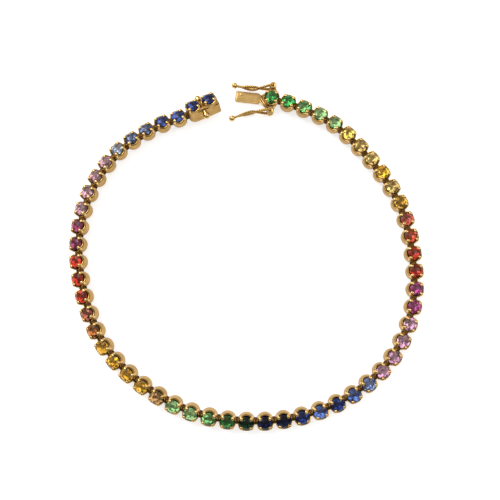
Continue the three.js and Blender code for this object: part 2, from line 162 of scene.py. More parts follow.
# The stones from the tongue to the box: a colour's name, and how many stones have it
STONES = [
    ("green", 2), ("mid_green", 1), ("light_green", 2),
    ("golden", 1), ("champagne", 2), ("deep_golden", 1), ("champagne", 1), ("amber", 1),
    ("brick", 1), ("orange_red", 1), ("deep_red", 2), ("magenta", 2), ("pink", 4),
    ("pale_blue", 1), ("sky_blue", 1), ("royal_blue", 1), ("sky_blue", 1), ("royal_blue", 1),
    ("navy", 2), ("dark_green", 1), ("deep_green", 1), ("mid_green", 1), ("light_green", 2),
    ("brown_gold", 1), ("amber", 4), ("maroon_gold", 1),
    ("rosy_brown", 1), ("deep_red", 3),
    ("plum", 2), ("dusty_pink", 4), ("blue_grey", 1), ("slate", 2), ("dusk_blue", 2), ("navy_blue", 2),
]
COLOURS = {
    "green": 0x3A9048, "mid_green": 0x609458, "light_green": 0x80A86E, "dark_green": 0x14281A,
    "deep_green": 0x2E6430, "golden": 0xCCA248, "champagne": 0xBC9A5A, "deep_golden": 0xD49A28,
    "brown_gold": 0x98744A, "amber": 0xB8862C, "maroon_gold": 0x94562C, "brick": 0x984638,
    "orange_red": 0xB0422C, "deep_red": 0x942A20, "rosy_brown": 0x884A3C, "magenta": 0x963A70,
    "plum": 0x76324C, "pink": 0xAE8098, "dusty_pink": 0x9C747E, "pale_blue": 0x6C7CA8,
    "sky_blue": 0x445890, "royal_blue": 0x202C60, "navy": 0x10162E, "navy_blue": 0x263468,
    "dusk_blue": 0x304078, "slate": 0x525C7C, "blue_grey": 0x868E9E,
}
RNG = np.random.default_rng(12)


def linear(hex_colour):
    """An sRGB colour as linear red, green and blue."""
    channels = np.array([(hex_colour >> shift) & 255 for shift in (16, 8, 0)]) / 255.0
    return np.where(channels <= 0.04045, channels / 12.92, ((channels + 0.055) / 1.055) ** 2.4)


# Frames along the chain
def route_samples(points, per_span=120):
    """A centripetal Catmull-Rom curve through the points, as samples."""
    pts = np.array(points, float)
    pts = np.vstack([2 * pts[0] - pts[1], pts, 2 * pts[-1] - pts[-2]])
    out = []
    t = np.linspace(0, 1, per_span, endpoint=False)[:, None]
    for i in range(1, len(pts) - 2):
        p0, p1, p2, p3 = pts[i - 1:i + 3]
        d0, d1, d2 = (np.linalg.norm(b - a) ** 0.5 for a, b in ((p0, p1), (p1, p2), (p2, p3)))
        m1 = d1 * ((p1 - p0) / d0 - (p2 - p0) / (d0 + d1) + (p2 - p1) / d1)
        m2 = d1 * ((p2 - p1) / d1 - (p3 - p1) / (d1 + d2) + (p3 - p2) / d2)
        c2 = -3 * p1 + 3 * p2 - 2 * m1 - m2
        c3 = 2 * p1 - 2 * p2 + m1 + m2
        out.append(p1 + m1 * t + c2 * t ** 2 + c3 * t ** 3)
    out.append(pts[-2][None])
    return np.vstack(out)


def lengths_along(path):
    """How far along a path each of its points is."""
    return np.r_[0, np.cumsum(np.linalg.norm(np.diff(path, axis=0), axis=1))]


route = route_samples(ROUTE)
route_s = lengths_along(route)
LAST_PLACE = int(route_s[-1] / PITCH)
LINKS = LAST_PLACE - 2
head_mount = next(m for m in frame["record"]["mounts"] if m["name"] == "resting_face")
SHIFT = np.array(head_mount["pos_m"][:2]) / MM - np.array(ROUTE[0])


def route_point(place):
    at = place * PITCH
    return np.array([np.interp(at, route_s, route[:, k]) + SHIFT[k] for k in (0, 1)] + [0.0])


def lean_at(place):
    return float(np.interp(place / LAST_PLACE, LEAN_SHARE, LEAN_ANGLE))


def unit(v):
    return v / np.linalg.norm(v)


def standing(centre, along, lean):
    """A 4 x 4 frame: X along the chain, Y outwards, Z up the stone's axis."""
    x = unit(np.array(along, float))
    level = unit(np.cross([0, 0, 1], x))
    upright = np.cross(x, level)
    tilt = math.radians(lean)
    z = upright * math.cos(tilt) + level * math.sin(tilt)
    out = np.eye(4)
    out[:3, 0], out[:3, 1], out[:3, 2], out[:3, 3] = x, np.cross(z, x), z, centre
    return out


def moved(frame4, points):
    return np.asarray(points) @ frame4[:3, :3].T + frame4[:3, 3]


def girdle_frame(point, along, lean, low_points):
    """The frame at the girdle's centre of a part that stands on the surface."""
    f = standing(point, along, lean)
    f[:3, 3] += f[:3, 2] * RING_DEPTH
    f[2, 3] -= moved(f, low_points)[:, 2].min()
    return f


# Mesh building. Edges sharper than this many degrees stay sharp
SHARP_ANGLE = 40


class Piece:
    """Vertices and faces of one piece, gathered from many small shapes."""

    def __init__(self):
        self.verts, self.faces, self.mats, self.tints, self.flat = [], [], [], [], []
        self.count = 0

    def add(self, shape, frame4=None, mat=0, tint=None, flat=False):
        verts, faces = shape
        if frame4 is not None:
            verts = moved(frame4, verts)
        self.verts.append(np.asarray(verts, float))
        start = self.count
        self.faces.extend([tuple(start + i for i in f) for f in faces])
        self.count += len(verts)
        self.mats.extend([mat] * len(faces) if np.isscalar(mat) else list(mat))
        self.flat.extend([flat] * len(faces))
        white = (1.0, 1.0, 1.0)
        self.tints.extend([white] * len(faces) if tint is None else [tuple(c) for c in tint])

    def build(self, name):
        mesh = bpy.data.meshes.new(name)
        mesh.from_pydata((np.vstack(self.verts) * MM).tolist(), [], self.faces)
        mesh.polygons.foreach_set("material_index", self.mats)
        mesh.polygons.foreach_set("use_smooth", [not f for f in self.flat])
        sizes = [len(f) for f in self.faces]
        colours = np.repeat(np.c_[np.array(self.tints), np.ones(len(self.tints))], sizes, axis=0)
        tint = mesh.color_attributes.new(name="tint", type="FLOAT_COLOR", domain="CORNER")
        tint.data.foreach_set("color", colours.astype(np.float32).ravel())
        for material in MATERIALS:
            mesh.materials.append(material)
        mesh.set_sharp_from_angle(angle=math.radians(SHARP_ANGLE))
        mesh.update()
        obj = bpy.data.objects.new(name, mesh)
        bpy.context.scene.collection.objects.link(obj)
        return obj


def grid_faces(rows, sides, closed_rows=False):
    """Quads between rows of points that run round an axis, with ends unless the rows close."""
    faces = []
    last = rows if closed_rows else rows - 1
    for r in range(last):
        a, b = r * sides, ((r + 1) % rows) * sides
        for s in range(sides):
            n = (s + 1) % sides
            faces.append((a + s, a + n, b + n, b + s))
    if not closed_rows:
        faces.append(tuple(range(sides))[::-1])
        end = (rows - 1) * sides
        faces.append(tuple(end + s for s in range(sides)))
    return faces


def turned(profile, sides, height=None, closed=False):
    """A lathe about Z from rows of radius and z. height may change a row's radii and z round it."""
    angle = 2 * math.pi * np.arange(sides) / sides
    rows = []
    for i, (radius, z) in enumerate(profile):
        radius_here = np.full(sides, float(radius))
        z_here = np.full(sides, float(z))
        if height is not None:
            radius_here, z_here = height(i, angle, radius_here, z_here)
        rows.append(np.c_[radius_here * np.cos(angle), radius_here * np.sin(angle), z_here])
    return np.vstack(rows), grid_faces(len(profile), sides, closed)


def ball(radius, sides, rows):
    latitude = np.linspace(-math.pi / 2, math.pi / 2, rows + 1)[1:-1]
    return turned([(radius * math.cos(a), radius * math.sin(a)) for a in latitude], sides)


def tube(path, radii, sides=12, side_hint=(0, 1, 0), flatten=1.0, closed=False):
    """A wire along a path of points, round or flattened.

    side_hint gives the direction of the section's first axis, and flatten scales the other one.
    """
    path = np.asarray(path, float)
    count = len(path)
    radii = np.broadcast_to(np.asarray(radii, float), (count,))
    if closed:
        tangent = np.roll(path, -1, 0) - np.roll(path, 1, 0)
    else:
        tangent = np.gradient(path, axis=0)
    tangent /= np.linalg.norm(tangent, axis=1)[:, None]
    hint = np.broadcast_to(np.asarray(side_hint, float), (count, 3))
    first = hint - (hint * tangent).sum(1)[:, None] * tangent
    first /= np.linalg.norm(first, axis=1)[:, None]
    second = np.cross(tangent, first)
    angle = 2 * math.pi * np.arange(sides) / sides
    rows = []
    for i in range(count):
        ring = np.outer(np.cos(angle), first[i]) + flatten * np.outer(np.sin(angle), second[i])
        rows.append(path[i] + radii[i] * ring)
    return np.vstack(rows), grid_faces(count, sides, closed)


def smooth_line(points, steps):
    """A smooth line through points, resampled evenly."""
    line = route_samples(points, 24)
    s = lengths_along(line)
    at = np.linspace(0, s[-1], steps)
    return np.c_[[np.interp(at, s, line[:, k]) for k in range(3)]].T


def rounded_tip(radii, tip, steps):
    """Radii that close to a round end over the last steps points."""
    radii = np.array(radii, float)
    for i in range(steps):
        radii[-1 - i] *= math.sqrt(max(0.0, 1 - (1 - i / steps) ** 2)) * (1 - tip) + tip
    return radii


def shifted(x=0.0, y=0.0, z=0.0):
    out = np.eye(4)
    out[:3, 3] = x, y, z
    return out


def turned_about(axis, degrees):
    return np.array(Matrix.Rotation(math.radians(degrees), 4, axis))


def rounded(corners, radii, steps=6):
    """A closed outline in plan, counter-clockwise, with its corners rounded."""
    corners = np.array(corners, float)
    points = []
    u = np.linspace(0, 1, steps)[:, None]
    for i, (corner, radius) in enumerate(zip(corners, radii)):
        before = unit(corners[i - 1] - corner) * radius
        after = unit(corners[(i + 1) % len(corners)] - corner) * radius
        points.append(corner + before * (1 - u) ** 2 + after * u ** 2)
    return np.vstack(points)


def inset(outline, distance):
    """The outline moved inwards."""
    before = outline - np.roll(outline, 1, 0)
    after = np.roll(outline, -1, 0) - outline
    before /= np.linalg.norm(before, axis=1)[:, None]
    after /= np.linalg.norm(after, axis=1)[:, None]
    inwards = np.c_[-before[:, 1] - after[:, 1], before[:, 0] + after[:, 0]]
    inwards /= (1 + (before * after).sum(1))[:, None]
    return outline + distance * inwards


def loft(outlines, heights):
    """A solid through outlines at rising heights, closed at both ends."""
    sides = len(outlines[0])
    verts = np.vstack([np.c_[line, np.full(sides, z)] for line, z in zip(outlines, heights)])
    return verts, grid_faces(len(outlines), sides)


def slab(outline, low, high, bevel):
    """A plate between two heights with rounded edges."""
    rows = [(bevel, low), (0.3 * bevel, low + 0.3 * bevel), (0.0, low + bevel),
            (0.0, high - bevel), (0.3 * bevel, high - 0.3 * bevel), (bevel, high)]
    return loft([inset(outline, d) for d, _ in rows], [z for _, z in rows])


def strip(path, low, high, thickness, bevel):
    """A flat strip along a path in the plane of X and Z, between two edges, low and high, in Y."""
    path = np.asarray(path, float)
    tangent = np.gradient(path, axis=0)
    tangent /= np.linalg.norm(tangent, axis=1)[:, None]
    normal = np.c_[-tangent[:, 1], tangent[:, 0]]
    half = thickness / 2
    corner = [(0.0, bevel), (0.3 * bevel, 0.3 * bevel), (bevel, 0.0)]
    rows = []
    for (x, z), (nx, nz), lo, hi in zip(path, normal, low, high):
        section = [(lo + a, half - b) for a, b in corner]
        section += [(hi - a, half - b) for a, b in reversed(corner)]
        section += [(hi - a, -half + b) for a, b in corner]
        section += [(lo + a, -half + b) for a, b in reversed(corner)]
        rows.append([(x + v * nx, u, z + v * nz) for u, v in section])
    return np.array(rows).reshape(-1, 3), grid_faces(len(rows), len(rows[0]))


def bored(outer, bore, half_length, bevel):
    """A short tube about Z with rounded edges."""
    edge = 0.3 * bevel
    profile = [(bore, -half_length + bevel), (bore + edge, -half_length + edge),
               (bore + bevel, -half_length), (outer - bevel, -half_length),
               (outer - edge, -half_length + edge), (outer, -half_length + bevel)]
    profile += [(r, -z) for r, z in reversed(profile)]
    return turned(profile, 40, closed=True)


def twisted(path, radius, offset, lay, sides):
    """Two thin wires wound about a path, one full turn each lay."""
    s = lengths_along(path)
    tangent = np.gradient(path, axis=0)
    tangent /= np.linalg.norm(tangent, axis=1)[:, None]
    first = np.array([0, 1, 0]) - tangent * tangent[:, 1:2]
    first /= np.linalg.norm(first, axis=1)[:, None]
    second = np.cross(tangent, first)
    shapes = []
    for share in (0.0, 0.5):
        turn = (2 * math.pi * (s / lay + share))[:, None]
        centre = path + offset * (np.cos(turn) * first + np.sin(turn) * second)
        shapes.append(tube(centre, radius, sides))
    return shapes


# Materials
def new_material(name):
    mat = bpy.data.materials.new(name)
    mat.use_nodes = True
    tree = mat.node_tree
    tree.nodes.clear()
    out = tree.nodes.new("ShaderNodeOutputMaterial")
    shader = tree.nodes.new("ShaderNodeBsdfPrincipled")
    tree.links.new(shader.outputs["BSDF"], out.inputs["Surface"])
    return mat, tree, shader


def node(tree, kind, **values):
    made = tree.nodes.new(kind)
    for key, value in values.items():
        setattr(made, key, value)
    return made


def gold_material(name, dark, light, roughness, rough_spread, grain, grain_height):
    """Yellow gold: colour and roughness vary in soft clouds, over a fine grain in the surface."""
    mat, tree, shader = new_material(name)
    link = tree.links.new
    shader.inputs["Metallic"].default_value = 1.0
    place = node(tree, "ShaderNodeTexCoord")
    clouds = node(tree, "ShaderNodeTexNoise")
    clouds.inputs["Scale"].default_value = 900.0
    clouds.inputs["Detail"].default_value = 4.0
    link(place.outputs["Object"], clouds.inputs["Vector"])
    ramp = node(tree, "ShaderNodeValToRGB")
    ramp.color_ramp.elements[0].position = 0.32
    ramp.color_ramp.elements[1].position = 0.68
    ramp.color_ramp.elements[0].color = (*linear(dark), 1)
    ramp.color_ramp.elements[1].color = (*linear(light), 1)
    link(clouds.outputs["Fac"], ramp.inputs["Fac"])
    link(ramp.outputs["Color"], shader.inputs["Base Color"])
    rough = node(tree, "ShaderNodeMapRange")
    rough.inputs["To Min"].default_value = roughness - rough_spread
    rough.inputs["To Max"].default_value = roughness + rough_spread
    link(clouds.outputs["Fac"], rough.inputs["Value"])
    link(rough.outputs["Result"], shader.inputs["Roughness"])
    fine = node(tree, "ShaderNodeTexNoise")
    fine.inputs["Scale"].default_value = grain
    fine.inputs["Detail"].default_value = 3.0
    link(place.outputs["Object"], fine.inputs["Vector"])
    bump = node(tree, "ShaderNodeBump")
    bump.inputs["Strength"].default_value = grain_height
    bump.inputs["Distance"].default_value = 0.02 * MM
    link(fine.outputs["Fac"], bump.inputs["Height"])
    link(bump.outputs["Normal"], shader.inputs["Normal"])
    return mat


def gem_material(name):
    """A cut stone whose facets take their colour, painted light and shade included, from the mesh's
    tint, and glow with it as painted light.
    """
    mat, tree, shader = new_material(name)
    tint = node(tree, "ShaderNodeVertexColor", layer_name="tint")
    place = node(tree, "ShaderNodeTexCoord")
    cloud = node(tree, "ShaderNodeTexNoise")
    cloud.inputs["Scale"].default_value = 2600.0
    tree.links.new(place.outputs["Object"], cloud.inputs["Vector"])
    depth = node(tree, "ShaderNodeMapRange")
    depth.inputs["From Min"].default_value = 0.33
    depth.inputs["From Max"].default_value = 0.67
    depth.inputs["To Min"].default_value = 0.4
    depth.inputs["To Max"].default_value = 1.6
    tree.links.new(cloud.outputs["Fac"], depth.inputs["Value"])
    mix = node(tree, "ShaderNodeMix", data_type="RGBA", blend_type="MULTIPLY")
    mix.inputs["Factor"].default_value = 1.0
    tree.links.new(tint.outputs["Color"], mix.inputs["A"])
    tree.links.new(depth.outputs["Result"], mix.inputs["B"])
    tree.links.new(mix.outputs["Result"], shader.inputs["Base Color"])
    # The stone glows in its facets' colour: painted light
    tree.links.new(mix.outputs["Result"], shader.inputs["Emission Color"])
    shader.inputs["Emission Strength"].default_value = 0.25
    shader.inputs["Roughness"].default_value = 0.1
    shader.inputs["IOR"].default_value = 1.76
    shader.inputs["Specular IOR Level"].default_value = 0.09
    return mat


SATIN = gold_material("gold_satin", 0xA8854C, 0xC49F62, 0.38, 0.06, 9000.0, 0.35)
POLISH = gold_material("gold_polish", 0xD2A962, 0xE8C684, 0.18, 0.05, 5000.0, 0.1)
BRUSHED = gold_material("gold_brushed", 0xBC9A5E, 0xCCA86E, 0.42, 0.06, 12000.0, 0.5)
# gold_shade is painted shade: dark gold for the cups' grooves and insides, the rings between the cups,
# the box's seam and the inside of its slot
SHADE = gold_material("gold_shade", 0x4A3010, 0x6A4A1E, 0.45, 0.06, 9000.0, 0.3)
# The deck's sunken middle is darker, reddish gold: painted shade with a painted reddish reflection
DECK_RECESS_SHADE = gold_material("gold_deck_recess_shade", 0x8A5A24, 0xB0803A, 0.35, 0.06, 9000.0, 0.4)
WIRE = gold_material("gold_wire", 0xAE8848, 0xC8A15C, 0.22, 0.05, 6000.0, 0.15)
GEM = gem_material("cut_stone")
SATIN_I, POLISH_I, SHADE_I, GEM_I, BRUSHED_I, WIRE_I, DECK_RECESS_SHADE_I = range(7)
MATERIALS = [SATIN, POLISH, SHADE, GEM, BRUSHED, WIRE, DECK_RECESS_SHADE]


# The cup and its stone
CUP_SIDES = 48
# The outside of the cup from its base up: radius and height. Its wall is a little fuller than in the
# source
CUP_PROFILE = [
    (0.04, -1.78), (0.32, -1.82), (0.38, -1.98), (0.62, -2.05), (0.98, -2.02), (1.22, -1.9),
    (1.37, -1.68), (1.45, -1.36), (1.48, -1.0), (1.495, -0.66), (1.5, -0.4),
]
# Rows of the rim: radius, rise from the scallop line, and how far the groove pushes it in and down
RIM_PROFILE = [
    (1.495, -0.17, 0.0, 0.0), (1.47, -0.13, 0.0, 0.0), (1.43, -0.14, 0.03, -0.12),
    (1.44, -0.04, 0.03, -0.02), (1.48, 0.0, 0.0, 0.0), (1.465, 0.045, 0.0, 0.0),
    (1.4, 0.07, 0.0, 0.0), (1.32, 0.05, 0.0, 0.0), (1.26, -0.02, 0.0, 0.0), (1.18, -0.25, 0.0, 0.0),
]
# The inside of the cup, from under the stone down
INNER_PROFILE = [(1.0, -0.8), (0.7, -1.25), (0.38, -1.6), (0.04, -1.66)]
PRONG_PATH = [(1.34, -0.9), (1.39, -0.4), (1.4, -0.02), (1.34, 0.17), (1.16, 0.29), (0.86, 0.34)]
PRONG_STEPS = 18
PRONG_FLATTEN = 0.6


def scallop(angle):
    """The rim's height round the cup, and how open its groove is there."""
    between = (1 + np.cos(4 * angle)) / 2
    sideways = np.sin(angle) ** 2
    line = 0.1 - between ** 0.8 * (0.3 * sideways + 0.5 * (1 - sideways))
    return line, between * sideways


def cup_shape(depth):
    profile = [(r, z * depth / CUP_DEPTH if z < -0.7 else z) for r, z in CUP_PROFILE]
    first = len(profile)
    profile += [(r, z) for r, z, _, _ in RIM_PROFILE] + INNER_PROFILE

    def height(i, angle, radius, z):
        if first <= i < first + len(RIM_PROFILE):
            line, open_here = scallop(angle)
            _, _, push_in, push_down = RIM_PROFILE[i - first]
            return radius - push_in * open_here, line + z + push_down * open_here
        return radius, z

    verts, faces = turned(profile, CUP_SIDES, height, closed=True)
    rows = np.repeat(np.arange(len(profile)), CUP_SIDES)
    mats = np.full(len(faces), SATIN_I)
    # The groove under the lip and the cup's inside under the stone are gold_shade, painted shade
    mats[rows >= first + 1] = SHADE_I
    mats[(rows >= first + 3) & (rows <= first + 7)] = WIRE_I
    return (verts, faces), mats


def prong_shape():
    path = smooth_line([(x, 0, z) for x, z in PRONG_PATH], PRONG_STEPS)
    share = np.linspace(0, 1, PRONG_STEPS)
    width = np.interp(share, [0, 0.5, 0.75, 1], [0.16, 0.26, 0.31, 0.27])
    return tube(path, rounded_tip(width, 0.12, 5), flatten=PRONG_FLATTEN)


def brilliant():
    """A round brilliant: table, stars, kites and halves above the girdle, and a pavilion."""
    k = np.arange(8) * math.pi / 4
    half = math.pi / 8
    table = np.c_[TABLE_R * np.cos(k), TABLE_R * np.sin(k), np.full(8, CROWN)]
    mid = np.c_[0.96 * np.cos(k + half), 0.96 * np.sin(k + half), np.full(8, 0.235)]
    j = np.arange(16) * half
    girdle = np.c_[STONE_R * np.cos(j), STONE_R * np.sin(j), np.full(16, 0.03)]
    under = girdle - [0, 0, 0.06]
    low = np.c_[0.5 * np.cos(k + half), 0.5 * np.sin(k + half), np.full(8, -0.5)]
    culet = np.array([[0, 0, -PAVILION]])
    inner = np.c_[0.3 * np.cos(k + half), 0.3 * np.sin(k + half), np.full(8, CROWN)]
    centre = np.array([[0, 0, CROWN]])
    verts = np.vstack([table, mid, girdle, under, low, culet, inner, centre])
    t, m, g, u, w, c, n, o = 0, 8, 16, 32, 48, 56, 57, 65
    faces, kinds = [], []
    for i in range(8):
        nxt, prev = (i + 1) % 8, (i - 1) % 8
        faces.append((t + i, m + i, t + nxt))
        kinds.append("star")
        faces.append((t + i, m + prev, g + 2 * i, m + i))
        kinds.append("kite")
        faces.append((m + i, g + 2 * i, g + 2 * i + 1))
        kinds.append("half")
        faces.append((m + i, g + 2 * i + 1, g + (2 * i + 2) % 16))
        kinds.append("half")
        faces.append((t + i, t + nxt, n + i))
        kinds.append("table_edge")
        faces.append((t + i, n + i, o, n + prev))
        kinds.append("table_middle")
        faces.append((u + 2 * i + 1, u + 2 * i, w + i))
        kinds.append("under")
        faces.append((u + (2 * i + 2) % 16, u + 2 * i + 1, w + i))
        kinds.append("under")
        faces.append((w + i, u + 2 * i, w + prev))
        kinds.append("under")
        faces.append((w + i, w + prev, c))
        kinds.append("under")
    for q in range(16):
        nxt = (q + 1) % 16
        faces.append((g + q, u + q, u + nxt, g + nxt))
        kinds.append("under")
    return verts, faces, kinds


CUP, CUP_MATS = cup_shape(CUP_DEPTH)
PRONG = prong_shape()
STONE_VERTS, STONE_FACES, STONE_KINDS = brilliant()
FACET_MIDDLES = np.array([STONE_VERTS[list(face)].mean(0) for face in STONE_FACES]) / STONE_R
# Depths of a stone's colour: painted shade, middle, and painted highlight
DARK, MIDDLE, BRIGHT = 0.24, 0.64, 2.1


def stone_tints(colour, f):
    """Each facet's depth of the stone's colour, painted light and shade: painted shade on its far side
    and painted highlights on its near one.

    The near side is towards the front of the picture, and a little towards the outside of the loop.
    """
    base = linear(COLOURS[colour])
    lit_side_way = unit(np.array([0.0, -1.0]) + 0.7 * unit(f[:2, 1]) + 1e-6)
    tints = []
    for kind, middle in zip(STONE_KINDS, FACET_MIDDLES):
        near = (f[:3, :3] @ middle)[:2] @ lit_side_way
        dice = RNG.random()
        if kind.startswith("table"):
            depth = BRIGHT if near > 0.22 and dice < 0.7 else MIDDLE if near > 0.1 else DARK * 1.4
        elif kind == "under":
            depth = MIDDLE
        elif near > 0.78 or near < -0.6:
            depth = DARK if dice < 0.7 else MIDDLE
        elif near > 0.2:
            depth = BRIGHT if dice < 0.6 else DARK
        else:
            depth = BRIGHT if dice < 0.15 else MIDDLE if dice < 0.55 else DARK
        depth *= RNG.uniform(0.8, 1.2)
        # The darker facets' painted shade is warmed towards gold
        warm = max(0.0, MIDDLE - depth) * 0.12 * base.sum() * np.array([1.0, 0.7, 0.2])
        tints.append(np.clip(base * depth + warm, 0.001, 0.95))
    return tints


def add_setting(piece, f, cup, mats):
    """A cup and its four prongs, which stand between the chain's line and its sides."""
    piece.add(cup, f, mat=mats)
    for i in range(4):
        angle = math.pi / 2 * (i + 0.5)
        c, s = math.cos(angle), math.sin(angle)
        turn4 = np.array([[c, -s, 0, 0], [s, c, 0, 0], [0, 0, 1, 0], [0, 0, 0, 1]], float)
        piece.add(PRONG, f @ turn4, mat=POLISH_I)


def add_stone(piece, f, colour):
    shape = (STONE_VERTS, STONE_FACES)
    piece.add(shape, f, mat=GEM_I, tint=stone_tints(colour, f), flat=True)


def add_ring(piece, start, end, axis):
    """One oval ring that joins two cups, upright in the gap between them."""
    x = unit(end - start)
    y = unit(np.cross(axis, x))
    f = np.eye(4)
    f[:3, 0], f[:3, 1], f[:3, 2], f[:3, 3] = x, y, np.cross(x, y), (start + end) / 2
    angle = 2 * math.pi * np.arange(28) / 28
    straight = RING_HALF_LENGTH - RING_END_R
    x_at = RING_END_R * np.cos(angle) + straight * np.sign(np.round(np.cos(angle), 6))
    path = np.c_[x_at, np.zeros(28), RING_END_R * np.sin(angle)]
    flatten = RING_WIRE_R / RING_HALF_WIDTH
    # The ring and the sheet in its eye are dark gold, painted shade
    piece.add(tube(path, RING_HALF_WIDTH, 10, flatten=flatten, closed=True), f, mat=SHADE_I)
    plan = path[:, [0, 2]] * RING_EYE_SHARE
    eye = slab(plan, -RING_EYE_HALF, RING_EYE_HALF, RING_EYE_BEVEL)
    piece.add(eye, f @ turned_about("X", 90), mat=SHADE_I)


colour_of = [name for name, count in STONES for _ in range(count)]
assert len(colour_of) == LAST_PLACE + 1

head_line = route_point(0.5) - route_point(0)
turn = math.radians(TONGUE_TURN)
head_line = np.array([head_line[0] * math.cos(turn) - head_line[1] * math.sin(turn),
                      head_line[0] * math.sin(turn) + head_line[1] * math.cos(turn), 0])


def link_frame(place, along):
    return girdle_frame(route_point(place), along, lean_at(place), CUP[0])


head = link_frame(0, head_line)
links = [link_frame(k, route_point(k + 0.5) - route_point(k - 0.5)) for k in range(1, LINKS + 1)]
box_start = route_point(LAST_PLACE - 1)
box_line = route_point(LAST_PLACE) - box_start
corner = np.radians(np.arange(0, 91, 15))
box_low = np.c_[np.zeros(7), BOX_HALF_WIDTH - BOX_CORNER_R + BOX_CORNER_R * np.sin(corner),
                -BOX_DEPTH + BOX_CORNER_R - BOX_CORNER_R * np.cos(corner)]
box = girdle_frame(box_start + box_line / 2, box_line, BOX_LEAN, box_low)


def ring_point(f, along=0.0, depth=RING_DEPTH):
    return moved(f, [(along, 0, -depth)])[0]


box_ring_point = ring_point(box, -PITCH / 2, BOX_RING_DEPTH)
box_rise = box_ring_point[2] - ring_point(links[-1])[2]
climb = route_point(LINKS + 0.5) - route_point(LINKS - 0.5)
climb[2] = box_rise / 2
links[-1] = link_frame(LINKS, climb)
links[-1][2, 3] += box_rise / 3


def finish_piece(obj, body, slot, *replaced):
    """Says which body a piece rides on and the solids that it stands for. Its material slot, slot, is
    not used.
    """
    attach(obj, body)
    if replaced:
        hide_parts(*replaced)


# The chain, in the two parts that meet at the middle
SPLIT = int(LINKS * 0.5 + 0.5)


def chain_part(name, node_name, first, last, ring_ends):
    metal, stones = Piece(), Piece()
    for k in range(first, last):
        add_setting(metal, links[k], CUP, CUP_MATS)
        add_stone(stones, links[k], colour_of[k + 1])
    for start, end, axis in ring_ends:
        add_ring(metal, start, end, axis)
    finish_piece(metal.build(name + "_cups"), "bracelet", "gold_chain", node_name)
    finish_piece(stones.build(name + "_stones"), "bracelet", "gold_chain")


def joint_ring(a, b, end=None):
    return ring_point(a), ring_point(b) if end is None else end, a[:3, 2] + b[:3, 2]


rings = [joint_ring(head, links[0])]
rings += [joint_ring(a, b) for a, b in zip(links, links[1:])]
rings.append(joint_ring(links[-1], box, box_ring_point))
chain_part("chain_tongue_side", "link_chain_tongue_side", 0, SPLIT, rings[:SPLIT + 1])
chain_part("chain_box_side", "link_chain_box_side", SPLIT, LINKS, rings[SPLIT + 1:])

# The clasp's tongue: a cup, a folded spring plate, two brackets, two webs and two barrels
def tongue_path():
    """The strip's middle line, from the head round the fold and back, in X and Z."""
    fold = (LEAF + SPREAD) / 2
    top = -PLATE_TOP - LEAF / 2
    fold_x = -PLATE_TIP + fold + LEAF / 2
    out = np.r_[np.linspace(-1.0, -PLATE_START + 0.04, 6), np.linspace(-PLATE_START - 0.03, fold_x, 26)]
    turn = np.radians(np.linspace(90, 270, 14))[1:-1]
    back = np.linspace(fold_x, -PLATE_START - 0.1, 22)
    path = [(x, top) for x in out]
    path += [(fold_x + fold * math.cos(a), top - fold + fold * math.sin(a)) for a in turn]
    path += [(x, top - 2 * fold) for x in back]
    return np.array(path), len(out)


def tongue_edges(path, first_run):
    """The strip's two edges in Y: the neck, a square shoulder and a sloping one, rounded corners."""
    x = path[:, 0]
    tip_x = -PLATE_TIP + PLATE_CORNER_R
    cut = np.clip(tip_x - x, 0, PLATE_CORNER_R)
    half = PLATE_HALF - PLATE_CORNER_R + np.sqrt(PLATE_CORNER_R ** 2 - cut ** 2)
    low = -half
    high = half.copy()
    neck = (np.arange(len(x)) < first_run) & (x > -PLATE_START)
    low[neck] = -NECK_HALF
    slope = np.interp(-x, [PLATE_START - 0.5, PLATE_START - 0.1, PLATE_START + 0.25, PLATE_START + 0.5],
                      [NECK_HALF - 0.1, NECK_HALF, PLATE_HALF - 0.04, PLATE_HALF])
    top_run = np.arange(len(x)) < first_run
    high[top_run] = np.minimum(high[top_run], slope[top_run])
    return low, high


def add_tongue(metal):
    add_setting(metal, head, CUP, CUP_MATS)
    path, first_run = tongue_path()
    low, high = tongue_edges(path, first_run)
    shape = strip(path, low, high, LEAF, PLATE_BEVEL)
    sides = len(shape[0]) // len(path)
    mats = np.full(len(shape[1]), BRUSHED_I)
    edge = np.arange(len(path) - 1)[:, None] * sides + np.array([0, 1, 3, 4, 6, 7, 9, 10])[None]
    mats[edge.ravel()] = POLISH_I
    metal.add(shape, head, mat=mats)
    nub = rounded(NUB, [NUB_CORNER_R] * 4, 4)
    nub = slab(nub, -PLATE_TOP - NUB_ROOT, -PLATE_TOP + NUB_HEIGHT, NUB_BEVEL)
    metal.add(nub, head, mat=POLISH_I)
    for side, bracket in ((1, OUTER_BRACKET), (-1, INNER_BRACKET)):
        for spread in (-BRACKET_SPREAD, BRACKET_SPREAD):
            arm = [(along * BRACKET_LENGTH + spread, side * reach * BRACKET_REACH - side * spread,
                    -LEVER_DEPTH - drop * BRACKET_DROP) for along, reach, drop in bracket]
            arm = tube(smooth_line(arm, 26), BRACKET_WIRE_R, side_hint=(0, 0, 1))
            metal.add(arm, head, mat=WIRE_I)
        web_end = HINGE_OFFSET - WEB_SHORT
        web = [(WEB_REACH - WEB_WIDTH, WEB_START), (WEB_REACH, WEB_START),
               (BARREL_R - 0.02, web_end), (0.0, web_end)]
        web = [(x, side * y) for x, y in web]
        web = rounded(web if side > 0 else web[::-1], [WEB_CORNER_R] * 4, 4)
        web_low = -LEVER_DEPTH - WEB_HEIGHT / 2
        metal.add(slab(web, web_low, web_low + WEB_HEIGHT, WEB_BEVEL), head, mat=SATIN_I)
        barrel = bored(BARREL_R, BARREL_BORE, BARREL_HALF, BARREL_BEVEL)
        metal.add(barrel, head @ shifted(0, side * HINGE_OFFSET, -LEVER_DEPTH), mat=SATIN_I)


